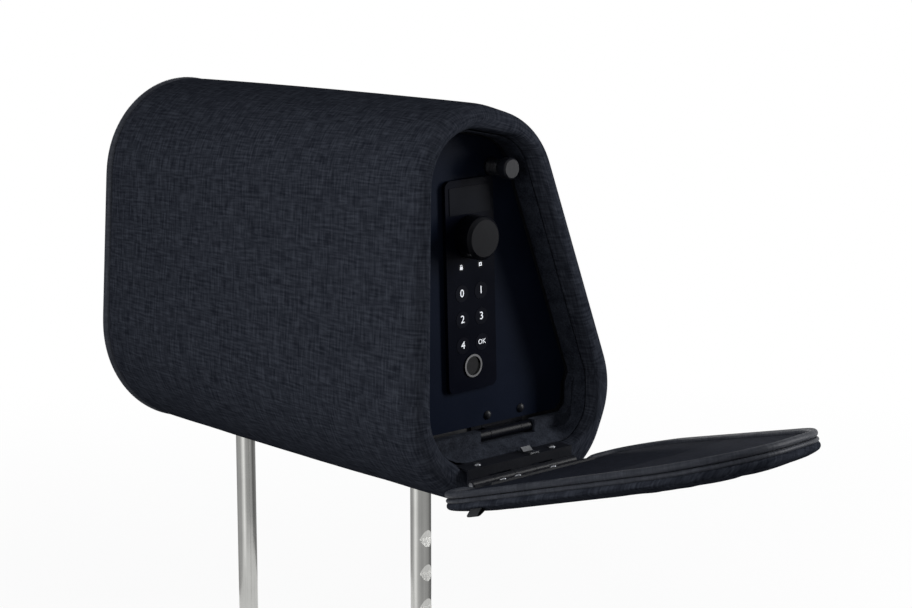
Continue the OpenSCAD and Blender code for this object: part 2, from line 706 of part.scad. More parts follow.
module locking_bar() {
    z0 = knob_at[1];
    y0 = knob_at[0];
    slot_y = crank_pin_r + 0.4;
    color("#b4b7ba") difference() {
        union() {
            block([bar_x0, y0 - 20, z0 - bar_half], [bar_x1, y0 + crank_r + 5, z0 + bar_half]);
            for (s = [-1, 1])
                block([bar_x0, bolt_end, z0 + s * (bar_half - prong_h / 2) - prong_h / 2],
                    [bar_x1, y0 - 19, z0 + s * (bar_half - prong_h / 2) + prong_h / 2]);
            for (s = [-1, 1])
                block([bar_x0, bolt_end, z0 + s * (bar_half - prong_h / 2) - prong_h / 2],
                    [frame_back - 0.6, housing_y0 - 0.5, z0 + s * (bar_half - prong_h / 2) + prong_h / 2]);
        }
        block([bar_x0 - 1, y0 + crank_r * cos(45) - slot_y, z0 + crank_r * cos(45) - slot_y],
            [bar_x1 + 1, y0 + crank_r * cos(45) + slot_y, z0 + crank_r + slot_y]);
    }
}
housing_y0 = bolt_end + 5;
housing_y1 = 22;
housing_drop = 52.7;
housing_rise = 23;
housing_depth = 21.4;
housing_z0 = panel_z - housing_drop;
housing_z1 = knob_at[1] + housing_rise;
housing_x0 = door_back - housing_depth;
wall_t = 1.5;
housing_screw_places = [for (y = [housing_y0 + 4, housing_y1 - 4])
    for (z = [housing_z0 - 3.4, housing_z1 + 3.4]) [y, z]];
rail_x = bar_x0 - 0.1;
module lock_housing() {
    z0 = knob_at[1];
    color("#34373d") difference() {
        union() {
            difference() {
                block([housing_x0, housing_y0, housing_z0], [door_back, housing_y1, housing_z1]);
                block([housing_x0 + wall_t, housing_y0 + wall_t, housing_z0 + wall_t],
                    [door_back + 1, housing_y1 - wall_t, housing_z1 - wall_t]);
            }
            for (s = [-1, 1])
                block([housing_x0, housing_y0 + wall_t / 2, z0 + s * (bar_half - 2) - 2],
                    [rail_x, housing_y1 - wall_t / 2, z0 + s * (bar_half - 2) + 2]);
            for (p = housing_screw_places)
                block([door_back - 3, p[0] - 4, p[1] - 4], [door_back, p[0] + 4, p[1] + 4]);
        }
        for (s = [-1, 1])
            block([rail_x, housing_y0 - 1, z0 + s * (bar_half - prong_h / 2) - prong_h / 2 - 0.3],
                [bar_x1 + 0.3, housing_y0 + wall_t + 1,
                    z0 + s * (bar_half - prong_h / 2) + prong_h / 2 + 0.3]);
        for (p = housing_screw_places) xcyl(p[0], p[1], 1.5, door_back - 4, door_back + 1);
    }
}
module housing_screws() {
    color("#9b9ea2") for (p = housing_screw_places) {
        xcyl(p[0], p[1], 1.5, door_back - 4, door_front - 0.8);
        xcyl(p[0], p[1], 2.8, door_back - 4.6, door_back - 3);
    }
}
board_z1 = knob_at[1] - bar_half - 2;
module circuit_board() {
    color("#1f5d3a")
        block([board_front - board_t, housing_y0 + wall_t, housing_z0 + wall_t],
            [board_front, housing_y1 - wall_t, board_z1]);
}
cell_r = 5.25;
cell_l = 44.5;
tray_t = 1.2;
cell_x = housing_x0 + wall_t + tray_t + cell_r;
cell_gap = 0.6;
function cell_y(k) = (housing_y0 + housing_y1) / 2 + (k - 1.5) * (2 * cell_r + cell_gap);
module battery_cells() {
    z0 = housing_z0 + wall_t + tray_t;
    color("#3d6fa8") for (k = [0 : 3]) {
        zcyl(cell_x, cell_y(k), cell_r, z0, z0 + cell_l - 1);
        zcyl(cell_x, cell_y(k), 2, z0 + cell_l - 1 - eps, z0 + cell_l);
    }
}
module battery_tray() {
    z0 = housing_z0 + wall_t;
    color("#17181b") difference() {
        block([housing_x0 + wall_t, housing_y0 + wall_t, z0],
            [cell_x, housing_y1 - wall_t, z0 + cell_l + 2 * tray_t]);
        for (k = [0 : 3])
            zcyl(cell_x, cell_y(k), cell_r + 0.1, z0 + tray_t, z0 + tray_t + cell_l);
    }
}
module lock_solenoid() {
    z1 = board_z1;
    x0 = housing_x0 + wall_t;
    y1 = housing_y1 - wall_t;
    color("#a07a3a") union() {
        block([x0, y1 - 15, z1 - 9], [x0 + 11, y1, z1]);
        zcyl(bar_x0 + 1.5, y1 - 7.5, 1.4, z1 - eps, z1 + 1.6);
    }
}

// Flap: drawn shut, then swung down to its open place on the stop.
flap_x = near_x + flap_out;
flap_swing = 90 - flap_rise;
module swung() {
    translate([flap_x, 0, flap_z]) rotate([0, flap_swing, 0])
        translate([-flap_x, 0, -flap_z]) children();
}
leaf_plate_t = 1.2;
flap_knuckle_r = 2.6;
flap_inner = flap_x + leaf_plate_t;
board_x = flap_inner + lining_t;
flap_low = flap_z + flap_knuckle_r + 0.8;

// The flap follows the body's outline, grown by its outset and cut off above the hinge.
// A corner circle lies inside an outline circle, touches it, and stands on the cut.
function grown(c) = [c[0], c[1], c[2] + flap_outset];
function on_cut(c, side) = let (z = flap_low + flap_corner_r, h = grown(c)[2] - flap_corner_r)
    [c[0] + side * sqrt(h * h - pow(c[1] - z, 2)), z, flap_corner_r];
flap_circles = concat([on_cut(recess_circles[1], 1)],
    [for (k = [1 : 4]) grown(recess_circles[k])],
    [grown(recess_circles[0]), on_cut(recess_circles[0], -1)]);
flap_steps = [5, 5, 3, 6, 10, 5, 5];
function flap_outline(inset) = wrap_path(flap_circles, flap_steps, inset);
module flap_shape(inset) { polygon(flap_outline(inset)); }
module flap_board() {
    color("#2b2c30") swung() slab(board_x, board_x + flap_board_t) flap_shape(bead_r);
}
module flap_lining() {
    color("#3a3d45") swung() slab(flap_inner, board_x) flap_shape(2 * bead_r + 0.2);
}
module bead_ring(x, out, r, inner) {
    swung() for (k = [-1 : 1])
        slab(x + (2 * k - 1) * r / 3, x + (2 * k + 1) * r / 3 + (k < 1 ? eps : 0)) difference() {
            flap_shape(out + (k == 0 ? 0 : 0.28 * r));
            flap_shape(inner);
        }
}
module flap_bead() {
    color("#4a4d55") difference() {
        bead_ring(board_x - bead_r + 1, 0, bead_r, 2 * bead_r);
        flap_board();
        // The bead stops at both ends of the hinge leaf.
        swung() block([flap_x - bead_r - 1, flap_hinge_y - flap_hinge_l / 2 - 0.4, flap_low - 1],
            [board_x + bead_r, flap_hinge_y + flap_hinge_l / 2 + 0.4, flap_low + 2 * bead_r + 1]);
    }
}
piping_x = board_x + flap_board_t - 0.4;
module flap_piping() {
    color("#3f424a") difference() {
        bead_ring(piping_x + piping_r - 1.4, bead_r - 2 * piping_r + 0.4,
            piping_r, bead_r + 0.8);
        flap_board();
    }
}
module flap_cushion() {
    x0 = board_x + flap_board_t;
    color("#23262d") difference() {
        swung() loft([[x0, 5, 1], [x0 + 0.14 * flap_dome, 4.2, 1], [x0 + 0.32 * flap_dome, 7, 1],
            [x0 + 0.55 * flap_dome, 12, 0.99], [x0 + 0.76 * flap_dome, 15, 0.95],
            [x0 + 0.92 * flap_dome, 15.6, 0.85], [x0 + flap_dome, 15.8, 0.64]],
            flap_circles, flap_steps, flap_mid);
        flap_piping();
    }
}
flap_hinge_y0 = flap_hinge_y - flap_hinge_l / 2;
flap_hinge_y1 = flap_hinge_y + flap_hinge_l / 2;
flap_knuckles = 5;
knuckle_pitch = flap_hinge_l / flap_knuckles;
module flap_knuckle(k, r) {
    ycyl(flap_x, flap_z, r, flap_hinge_y0 + k * knuckle_pitch + 0.15,
        flap_hinge_y0 + (k + 1) * knuckle_pitch - 0.15);
}
function leaf_rivet_y(k) = flap_hinge_y0 + (k + 0.5) * knuckle_pitch;
leaf_web_x = flap_x - flap_knuckle_r - 0.4;
body_rivet_steps = [0.2, 3.8];
body_rivet_x = near_x - 1.4;
flap_rivet_steps = [0.3, 1, 2.7];
module flap_hinge_body_leaf() {
    color("#3a3c41") difference() {
        union() {
            block([leaf_seat_x + 0.4, flap_hinge_y0, leaf_seat_z],
                [leaf_web_x + leaf_plate_t, flap_hinge_y1, leaf_seat_z + leaf_plate_t]);
            block([leaf_web_x, flap_hinge_y0, flap_z + flap_knuckle_r + 0.4],
                [leaf_web_x + leaf_plate_t, flap_hinge_y1, leaf_seat_z + eps]);
            for (k = [0, 2, 4]) {
                flap_knuckle(k, flap_knuckle_r);
                block([leaf_web_x, flap_hinge_y0 + k * knuckle_pitch + 0.15, flap_z],
                    [leaf_web_x + leaf_plate_t, flap_hinge_y0 + (k + 1) * knuckle_pitch - 0.15,
                        leaf_seat_z]);
            }
        }
        ycyl(flap_x, flap_z, pin_r, flap_hinge_y0 - 1, flap_hinge_y1 + 1);
        for (k = body_rivet_steps)
            zcyl(body_rivet_x, leaf_rivet_y(k), 1.3, leaf_seat_z - 2, leaf_seat_z + 3);
    }
}
module flap_hinge_pin() {
    color("#c4c6c8") ycyl(flap_x, flap_z, pin_r, flap_hinge_y0, flap_hinge_y1);
}
module body_leaf_rivets() {
    color("#9b9ea2") for (k = body_rivet_steps) {
        zcyl(body_rivet_x, leaf_rivet_y(k), 1.3, leaf_seat_z, leaf_seat_z + leaf_plate_t + eps);
        translate([body_rivet_x, leaf_rivet_y(k), leaf_seat_z + leaf_plate_t]) rotate_extrude()
            polygon(concat([[0, 0], [2.2, 0]], [for (a = [15 : 15 : 90]) [2.2 * cos(a), 1.3 * sin(a)]]));
    }
}
leaf_reach = 17;
module flap_hinge_leaf() {
    color("#3a3c41") difference() {
        union() {
            swung() slab(flap_x, flap_inner) {
                translate([flap_hinge_y0, flap_low])
                    square([flap_hinge_l, leaf_reach - flap_low + flap_z]);
                for (k = [1, 3]) translate([flap_hinge_y0 + k * knuckle_pitch + 0.4, flap_z + 1])
                    square([knuckle_pitch - 0.8, flap_low - flap_z]);
            }
            for (k = [1, 3]) flap_knuckle(k, flap_knuckle_r);
        }
        ycyl(flap_x, flap_z, pin_r + run, flap_hinge_y0 - 1, flap_hinge_y1 + 1);
        for (k = flap_rivet_steps)
            swung() xcyl(leaf_rivet_y(k), flap_z + 12, 1.3, flap_x - 2, flap_inner + 1);
    }
}
module flap_rivets() {
    color("#9b9ea2") swung() for (k = flap_rivet_steps) {
        xcyl(leaf_rivet_y(k), flap_z + 12, 1.3, flap_x - eps, flap_inner);
        translate([flap_x, leaf_rivet_y(k), flap_z + 12]) rotate([0, -90, 0]) rotate_extrude()
            polygon(concat([[0, 0], [2.2, 0]], [for (a = [15 : 15 : 90]) [2.2 * cos(a), 1.3 * sin(a)]]));
    }
}
// Bent steel clip over the middle of the hinge.
clip_y = 26;
module stop_clip() {
    z0 = leaf_seat_z + leaf_plate_t;
    color("#c9cbce") translate([0, clip_y + 3.5, z0]) rotate([90, 0, 0]) linear_extrude(7)
        polygon([[near_x - 6.5, 0], [near_x + 3, 0], [near_x + 4.2, 0.5], [near_x + 4.2, 1.5],
            [near_x - 1, 1.1], [near_x - 3.5, 3.2], [near_x - 4.3, 2.6], [near_x - 2.8, 1],
            [near_x - 6.5, 1]]);
}
// Short tab of webbing caught in the flap's seam.
tab_z = flap_z + 40;
module flap_pull_tab() {
    x0 = board_x + flap_board_t;
    color("#17181b") swung() block([x0 + flap_dome * 0.3, tab_y - 8, tab_z],
        [x0 + flap_dome * 0.3 + 1.6, tab_y, tab_z + 9]);
}
tab_y = -front_y - flap_outset + 6;
flap_mid = [outline_mid[0] + 4, outline_mid[1] - 4];

cover();
foam_padding();
end_board();
end_piping();
end_cushion();
post_left();
post_right();
post_bracket();
post_washers();
post_nuts();
bracket_bolts();
safe_box();
door_frame();
door_seal();
floor_mat();
recess_trim();
door_hinge_fixed_leaf();
door_hinge_pin();
flap_hinge_body_leaf();
flap_hinge_pin();
body_leaf_rivets();
stop_clip();
door_plate();
door_hinge_leaf();
door_rivets();
pull_knob();
lock_faceplate();
label_plate();
status_lamps();
sensor_ring();
sensor_window();
lock_housing();
housing_screws();
circuit_board();
battery_cells();
battery_tray();
lock_solenoid();
knob();
knob_spindle();
knob_cam();
locking_bar();
key_0();
key_1();
key_2();
key_3();
key_4();
key_ok();
flap_board();
flap_lining();
flap_bead();
flap_piping();
flap_cushion();
flap_hinge_leaf();
flap_rivets();
flap_pull_tab();
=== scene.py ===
import json
import math
import bpy
import bmesh
import numpy as np
from mathutils import Matrix, Vector, noise


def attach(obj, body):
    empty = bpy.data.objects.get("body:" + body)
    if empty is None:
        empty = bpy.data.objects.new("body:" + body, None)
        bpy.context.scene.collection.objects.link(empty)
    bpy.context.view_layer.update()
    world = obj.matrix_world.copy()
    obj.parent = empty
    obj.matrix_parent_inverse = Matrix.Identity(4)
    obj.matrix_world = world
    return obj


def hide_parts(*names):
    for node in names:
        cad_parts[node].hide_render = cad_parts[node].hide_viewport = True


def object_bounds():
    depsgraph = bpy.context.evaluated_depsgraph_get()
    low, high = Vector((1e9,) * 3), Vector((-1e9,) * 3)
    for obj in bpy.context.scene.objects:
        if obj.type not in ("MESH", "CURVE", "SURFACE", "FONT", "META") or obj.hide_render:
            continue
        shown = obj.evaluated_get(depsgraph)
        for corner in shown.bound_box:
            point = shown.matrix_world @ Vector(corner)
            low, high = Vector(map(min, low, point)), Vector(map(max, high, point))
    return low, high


# A padded headrest safe: sewn pieces are built here, hard pieces keep their CAD shape.
# Sizes are in millimetres until a mesh is made, and MM turns them into metres.
MM = 0.001
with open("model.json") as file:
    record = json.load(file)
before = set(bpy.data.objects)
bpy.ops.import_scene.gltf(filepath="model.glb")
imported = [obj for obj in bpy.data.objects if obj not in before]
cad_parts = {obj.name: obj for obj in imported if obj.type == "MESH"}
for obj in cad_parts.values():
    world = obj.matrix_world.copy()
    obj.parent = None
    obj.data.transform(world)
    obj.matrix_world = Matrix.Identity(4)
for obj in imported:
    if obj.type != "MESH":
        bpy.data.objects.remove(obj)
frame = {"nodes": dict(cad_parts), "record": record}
cad_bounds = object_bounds()
nodes = frame["nodes"]
scene = bpy.context.scene

NEAR_X, FAR_X, BODY_L = 144.5, -143.5, 288.0
RECESS = [(-10.5, 59, 50), (57.3, 46, 37), (51.3, 55, 43), (4.5, 174.7, 43), (-15.5, 177.7, 44)]
NEAR = [(-0.8, 60.8, 60.8), (47.3, 44, 44), (49, 53.8, 46.5), (0.2, 168.1, 49.6), (-11.2, 176.3, 45)]
FAR = [(3, 68, 68), NEAR[1], NEAR[2], (10.43, 164.26, 49.6), (0.4, 160, 59.5)]
FLAP = [(79.58, 35.8, 16), (57.3, 46, 40.5), (51.3, 55, 46.5), (4.5, 174.7, 46.5),
        (-15.5, 177.7, 47.5), (-10.5, 59, 53.5), (-39.96, 35.8, 16)]
MID = (10.9, 106.85)
FLAP_MID = (14.9, 102.85)
FLAP_X, FLAP_Z, FLAP_SWING = 150.0, 16.4, 73.5
BOARD_X = 152.6
DOOR_FRONT = 121.5
PANEL_FRONT = 123.9
PANEL_AT, PANEL_LEAN = (0.8, 119.7), math.radians(1.7)


# ---- outlines -------------------------------------------------------------------------------

def run_normal(a, b):
    """Direction of the outward normal on the straight run from circle a to circle b."""
    dy, dz = b[0] - a[0], b[1] - a[1]
    lean = max(-1.0, min(1.0, (a[2] - b[2]) / math.hypot(dy, dz)))
    return math.atan2(dz, dy) - math.pi / 2 + math.asin(lean)


def outline(circles, pace=3.0):
    """Rows of y, z and the outward normal, the same count for outlines of the same plan."""
    n, rows = len(circles), []
    for i, c in enumerate(circles):
        a0, a1 = run_normal(circles[i - 1], c), run_normal(c, circles[(i + 1) % n])
        while a1 < a0 - 1e-9:
            a1 += 2 * math.pi
        while a1 - a0 >= 2 * math.pi:
            a1 -= 2 * math.pi
        arc = PLAN[n][i][0]
        for k in range(arc):
            a = a0 + (a1 - a0) * k / arc
            rows.append((c[0] + c[2] * math.cos(a), c[1] + c[2] * math.sin(a), math.cos(a), math.sin(a)))
        d = circles[(i + 1) % n]
        run = PLAN[n][i][1]
        for k in range(run):
            t = k / run
            cy, cz = math.cos(a1), math.sin(a1)
            rows.append(((1 - t) * (c[0] + c[2] * cy) + t * (d[0] + d[2] * cy),
                         (1 - t) * (c[1] + c[2] * cz) + t * (d[1] + d[2] * cz), cy, cz))
    return np.array(rows)


# Steps round each corner and along the run after it, by the number of circles.
PLAN = {5: [(20, 7), (16, 2), (6, 24), (16, 3), (20, 16)],
        7: [(7, 2), (12, 1), (4, 24), (16, 3), (20, 20), (10, 2), (8, 20)]}


def ring(x, inset, circles, scale=1.0, mid=MID):
    """One closed row of points at x, drawn in by inset and then scaled about mid."""
    if circles == "body":
        t = (NEAR_X - x) / BODY_L
        circles = [tuple((1 - t) * p + t * q for p, q in zip(a, b)) for a, b in zip(NEAR, FAR)]
    o = outline(circles)
    p = o[:, :2] - inset * o[:, 2:]
    p = np.array(mid) + scale * (p - np.array(mid))
    return np.column_stack([np.full(len(p), x), p])


# ---- meshes ---------------------------------------------------------------------------------

def finish_mesh(name, bm, slot, body, smooth=True):
    bmesh.ops.recalc_face_normals(bm, faces=bm.faces)
    mesh = bpy.data.meshes.new(name)
    bm.to_mesh(mesh)
    bm.free()
    mesh.polygons.foreach_set("use_smooth", [smooth] * len(mesh.polygons))
    obj = bpy.data.objects.new(name, mesh)
    scene.collection.objects.link(obj)
    obj.data.materials.append(MATERIALS[slot])
    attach(obj, body)
    return obj


def skin(rings, closed=False, cap=False, planar=False):
    """A surface through closed rows of points, with a UV map in metres."""
    bm = bmesh.new()
    n = len(rings[0])
    loop = bmesh.ops.create_circle(bm, segments=n, radius=1.0)["verts"]
    place = {}

    def put(verts, points, row):
        for i, (v, p) in enumerate(zip(verts, points)):
            v.co = Vector(p) * MM
            place[v] = (row, i)

    def edges_of(verts):
        return [bm.edges.get((verts[i], verts[(i + 1) % n])) for i in range(n)]

    def key(co):
        return tuple(round(c, 7) for c in co)

    put(loop, rings[0], 0)
    first = loop
    for row, points in enumerate(rings[1:], 1):
        made = bmesh.ops.extrude_edge_only(bm, edges=edges_of(loop))["geom"]
        fresh = {key(v.co): v for v in made if isinstance(v, bmesh.types.BMVert)}
        loop = [fresh[key(v.co)] for v in loop]
        put(loop, points, row)
    if closed:
        bmesh.ops.bridge_loops(bm, edges=edges_of(first) + edges_of(loop))
    if cap:
        face = bmesh.ops.contextual_create(bm, geom=edges_of(loop))["faces"]
        centre = bmesh.ops.poke(bm, faces=face)["verts"][0]
        place[centre] = (len(rings), 0)
    mids = np.array([np.mean(r, axis=0) for r in rings])
    widest = max(range(len(rings)), key=lambda k: np.ptp(rings[k][:, 1]))
    step = np.linalg.norm(np.roll(rings[widest], -1, axis=0) - rings[widest], axis=1)
    around = np.concatenate([[0], np.cumsum(step)]) * MM
    along = np.concatenate([[0], np.cumsum([np.linalg.norm(b - a, axis=1).mean()
                                            for a, b in zip(rings, rings[1:])])]) * MM
    layer = bm.loops.layers.uv.new("UVMap")
    for f in bm.faces:
        spots = [place[v] for v in (l.vert for l in f.loops)]
        wraps = max(s[1] for s in spots) - min(s[1] for s in spots) > n // 2
        turns = closed and max(s[0] for s in spots) - min(s[0] for s in spots) > len(rings) // 2
        for l, (row, i) in zip(f.loops, spots):
            if planar:
                l[layer].uv = (l.vert.co.y + l.vert.co.x * 0.7, l.vert.co.z + l.vert.co.x * 0.7)
            else:
                u = along[-1] + 0.003 if turns and row == 0 else along[min(row, len(rings) - 1)]
                l[layer].uv = (u, around[n] if wraps and i == 0 else around[i])
    return bm, place


def tube(x, inset, r, circles, sides=12, squash=1.0, mid=MID):
    """Rings of a round cord sewn along an outline: its centre at x and inset."""
    return [ring(x + r * squash * math.cos(a), inset + r * math.sin(a), circles, 1.0, mid)
            for a in (2 * math.pi * k / sides for k in range(sides))]


def swing_open(obj):
    """Turns a piece of the flap from its shut place to its open one."""
    move = Matrix.Translation(Vector((FLAP_X, 0, FLAP_Z)) * MM)
    obj.data.transform(move @ Matrix.Rotation(math.radians(FLAP_SWING), 4, "Y") @ move.inverted())
    obj.data.update()
    return obj


def modifier(obj, kind, **settings):
    m = obj.modifiers.new(kind.title(), kind)
    for k, v in settings.items():
        setattr(m, k, v)
    return m


def smooth_more(obj, levels=1):
    modifier(obj, "SUBSURF", levels=levels, render_levels=levels)
    return obj


def inflate(obj, pinned, cap, pressure=4.0, stiff=12.0):
    """Blows the padding up against its seams with cloth, moves no point further than cap."""
    group = obj.vertex_groups.new(name="pinned")
    group.add([i for i, p in enumerate(pinned) if p], 1.0, "REPLACE")
    before = np.array([v.co for v in obj.data.vertices])
    cloth = modifier(obj, "CLOTH")
    cloth.settings.quality = 6
    cloth.settings.mass = 0.3
    for k in ("tension", "compression", "shear"):
        setattr(cloth.settings, k + "_stiffness", stiff)
    cloth.settings.bending_stiffness = 0.6
    cloth.settings.use_pressure = True
    cloth.settings.uniform_pressure_force = pressure
    cloth.settings.vertex_group_mass = "pinned"
    cloth.settings.effector_weights.gravity = 0.0
    cloth.point_cache.frame_start, cloth.point_cache.frame_end = 1, 20
    for f in range(1, 21):
        scene.frame_set(f)
    graph = bpy.context.evaluated_depsgraph_get()
    after = np.array([v.co for v in obj.evaluated_get(graph).data.vertices])
    move = after - before
    size = np.linalg.norm(move, axis=1, keepdims=True)
    move *= np.minimum(1.0, cap * MM / np.maximum(size, 1e-9))
    obj.modifiers.remove(cloth)
    scene.frame_set(1)
    obj.data.vertices.foreach_set("co", (before + move).ravel())
    obj.data.update()


# ---- materials ------------------------------------------------------------------------------

class Val:
    """A number or colour socket. Arithmetic on it adds Math nodes."""

    def __init__(self, made, socket):
        self.made, self.socket = made, socket

    def op(self, kind, *others):
        values = (self,) + others
        return self.made.add("ShaderNodeMath", {"operation": kind}, dict(enumerate(values)))

    def __add__(self, o):
        return self.op("ADD", o)

    def __sub__(self, o):
        return self.op("SUBTRACT", o)

    def __mul__(self, o):
        return self.op("MULTIPLY", o)

    def __truediv__(self, o):
        return self.op("DIVIDE", o)

    def __pow__(self, o):
        return self.op("POWER", o)

    def __rsub__(self, o):
        return self.made.add("ShaderNodeMath", {"operation": "SUBTRACT"}, {0: o, 1: self})

    __radd__, __rmul__ = __add__, __mul__


class Made:
    """One procedural material round a Principled shader."""

    def __init__(self, name, **fixed):
        self.mat = bpy.data.materials.new(name)
        self.mat.use_nodes = True
        self.tree = self.mat.node_tree
        self.shader = self.tree.nodes["Principled BSDF"]
        for k, v in fixed.items():
            self.shader.inputs[k.replace("_", " ")].default_value = v
        MATERIALS[name] = self.mat

    def put(self, socket, value):
        if isinstance(value, Val):
            self.tree.links.new(value.socket, socket)
        else:
            socket.default_value = value

    def add(self, kind, settings, values, out=0):
        n = self.tree.nodes.new(kind)
        for k, v in settings.items():
            if k == "stops":
                while len(n.color_ramp.elements) < len(v):
                    n.color_ramp.elements.new(0.5)
                for e, (at, level) in zip(n.color_ramp.elements, v):
                    e.position, e.color = at, (level, level, level, 1)
            else:
                setattr(n, k, v)
        for k, v in values.items():
            self.put(n.inputs[k], v)
        return Val(self, n.outputs[out])

    def coords(self, kind="Object", scale=(1, 1, 1), turn=(0, 0, 0)):
        c = self.add("ShaderNodeTexCoord", {}, {}, kind)
        return self.add("ShaderNodeMapping", {}, {"Vector": c, "Scale": scale, "Rotation": turn})

    def noise(self, coords, scale, detail=2.0, rough=0.5):
        return self.add("ShaderNodeTexNoise", {}, {"Vector": coords, "Scale": scale,
                                                   "Detail": detail, "Roughness": rough})

    def ramp(self, value, *stops):
        return self.add("ShaderNodeValToRGB", {"stops": stops}, {"Fac": value})

    def mix(self, factor, a, b):
        return self.add("ShaderNodeMix", {"data_type": "RGBA"},
                        {0: factor, 6: a if isinstance(a, Val) else (*a, 1),
                         7: b if isinstance(b, Val) else (*b, 1)}, 2)

    def bump(self, height, strength, distance):
        self.put(self.shader.inputs["Normal"],
                 self.add("ShaderNodeBump", {}, {"Height": height, "Strength": strength,
                                                 "Distance": distance * MM}))

    def set(self, **values):
        for k, v in values.items():
            self.put(self.shader.inputs[k.replace("_", " ")], v)


MATERIALS = {}


def woven(name, dark, light, streak, rough, weave=1.0, kind="UV", spec=0.0):
    """Linen-look vinyl: long uneven threads both ways over a fine square weave."""
    m = Made(name, Specular_IOR_Level=spec)
    warp = m.noise(m.coords(kind, (90, 760, 90)), 1.0, 2.0, 0.5)
    weft = m.noise(m.coords(kind, (760, 90, 90)), 1.0, 2.0, 0.5)
    cloud = m.noise(m.coords(kind), 22.0, 3.0, 0.5)
    threads = m.ramp(warp * 0.5 + weft * 0.5, (0.36, 0.0), (0.5, 0.42), (0.64, 1.0))
    tone = threads * streak + cloud * 0.12 + (0.5 - streak * 0.5 - 0.06)
    m.set(Base_Color=m.mix(tone, dark, light), Roughness=rough - threads * 0.08)
    m.bump(threads * 0.8 + warp * 0.4 * weave + weft * 0.4 * weave, 0.55, 0.18)
    return m


